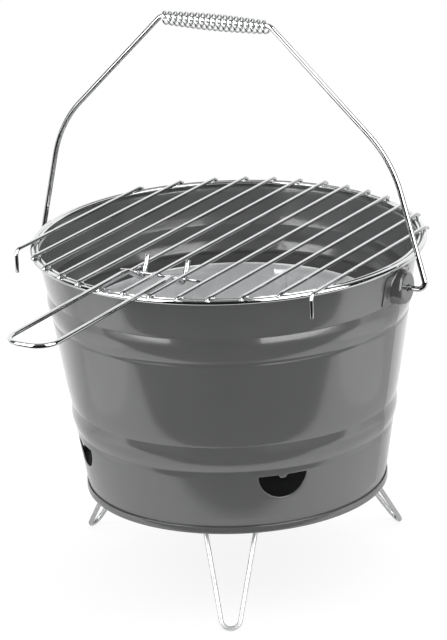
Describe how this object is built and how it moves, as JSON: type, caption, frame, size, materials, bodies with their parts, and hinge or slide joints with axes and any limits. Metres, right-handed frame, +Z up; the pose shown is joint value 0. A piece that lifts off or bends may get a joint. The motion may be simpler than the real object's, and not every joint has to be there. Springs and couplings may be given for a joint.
{
  "type": "portable tabletop grill",
  "caption": "Small bucket-shaped charcoal grill on folding wire legs, with a lift-off wire grate, a wire grate lifter, a charcoal pan and a swinging carrying bail.",
  "frame": {"origin": "centre of the flat underside of the bottom panel", "axes": "+Z up the bucket's axis, X through the bail's two pivots, -Y towards the lifter's loop at the front"},
  "size_m": [0.2872, 0.3748, 0.3769],
  "materials": {
    "body_paint": "semi-gloss grey paint on sheet steel",
    "chrome_wire": "bright chrome plate on steel wire",
    "zinc_plate": "zinc plate on sheet steel",
    "plated_sheet": "dull galvanised sheet"
  },
  "bodies": {
    "bucket": {"bucket_wall": "body_paint", "bucket_bottom": "body_paint", "ear_left": "body_paint", "ear_right": "body_paint", "leg_bracket_1": "zinc_plate", "leg_bracket_2": "zinc_plate", "leg_bracket_3": "zinc_plate", "bracket_rivet_1_inner": "zinc_plate", "bracket_rivet_1_outer": "zinc_plate", "bracket_rivet_2_inner": "zinc_plate", "bracket_rivet_2_outer": "zinc_plate", "bracket_rivet_3_inner": "zinc_plate", "bracket_rivet_3_outer": "zinc_plate"},
    "bail": {"bail_wire": "chrome_wire"},
    "grip": {"grip_coil": "chrome_wire"},
    "grate": {"grate_ring": "chrome_wire", "grate_bar_01": "chrome_wire", "grate_bar_02": "chrome_wire", "grate_bar_03": "chrome_wire", "grate_bar_04": "chrome_wire", "grate_bar_05": "chrome_wire", "grate_bar_06": "chrome_wire", "grate_bar_07": "chrome_wire", "grate_bar_08": "chrome_wire", "grate_bar_09": "chrome_wire", "grate_bar_10": "chrome_wire", "grate_bar_11": "chrome_wire", "grate_bar_12": "chrome_wire", "grate_bar_13": "chrome_wire"},
    "lifter": {"lifter_wire": "chrome_wire", "lifter_cross_wire": "chrome_wire"},
    "pan": {"charcoal_pan": "plated_sheet", "pan_foot_1": "plated_sheet", "pan_foot_2": "plated_sheet", "pan_foot_3": "plated_sheet"},
    "leg_1": {"leg_1": "chrome_wire"},
    "leg_2": {"leg_2": "chrome_wire"},
    "leg_3": {"leg_3": "chrome_wire"}
  },
  "joints": [
    {"name": "bail_swing", "type": "hinge", "parent": "bucket", "child": "bail", "pos_m": [0, 0, 0.1475], "axis": [-1, 0, 0], "range_deg": [-60, 120]},
    {"name": "grip_spin", "type": "hinge", "parent": "bail", "child": "grip", "pos_m": [0, 0, 0.31065], "axis": [1, 0, 0], "continuous": true},
    {"name": "grate_lift", "type": "slide", "parent": "bucket", "child": "grate", "axis": [0, 0, 1], "range_m": [0, 0.034]},
    {"name": "lifter_slide", "type": "slide", "parent": "grate", "child": "lifter", "axis": [0.0447, 0.999, 0], "range_m": [-0.025, 0.02]},
    {"name": "pan_lift", "type": "slide", "parent": "bucket", "child": "pan", "axis": [0, 0, 1], "range_m": [0, 0.04]},
    {"name": "leg_fold_1", "type": "hinge", "parent": "bucket", "child": "leg_1", "pos_m": [0.03592, -0.07704, -0.00185], "axis": [0.9063, 0.4226, 0], "range_deg": [0, 118]},
    {"name": "leg_fold_2", "type": "hinge", "parent": "bucket", "child": "leg_2", "pos_m": [0.04875, 0.06963, -0.00185], "axis": [-0.8192, 0.5736, 0], "range_deg": [0, 118]},
    {"name": "leg_fold_3", "type": "hinge", "parent": "bucket", "child": "leg_3", "pos_m": [-0.08468, 0.00741, -0.00185], "axis": [-0.0872, -0.9962, 0], "range_deg": [0, 118]}
  ]
}
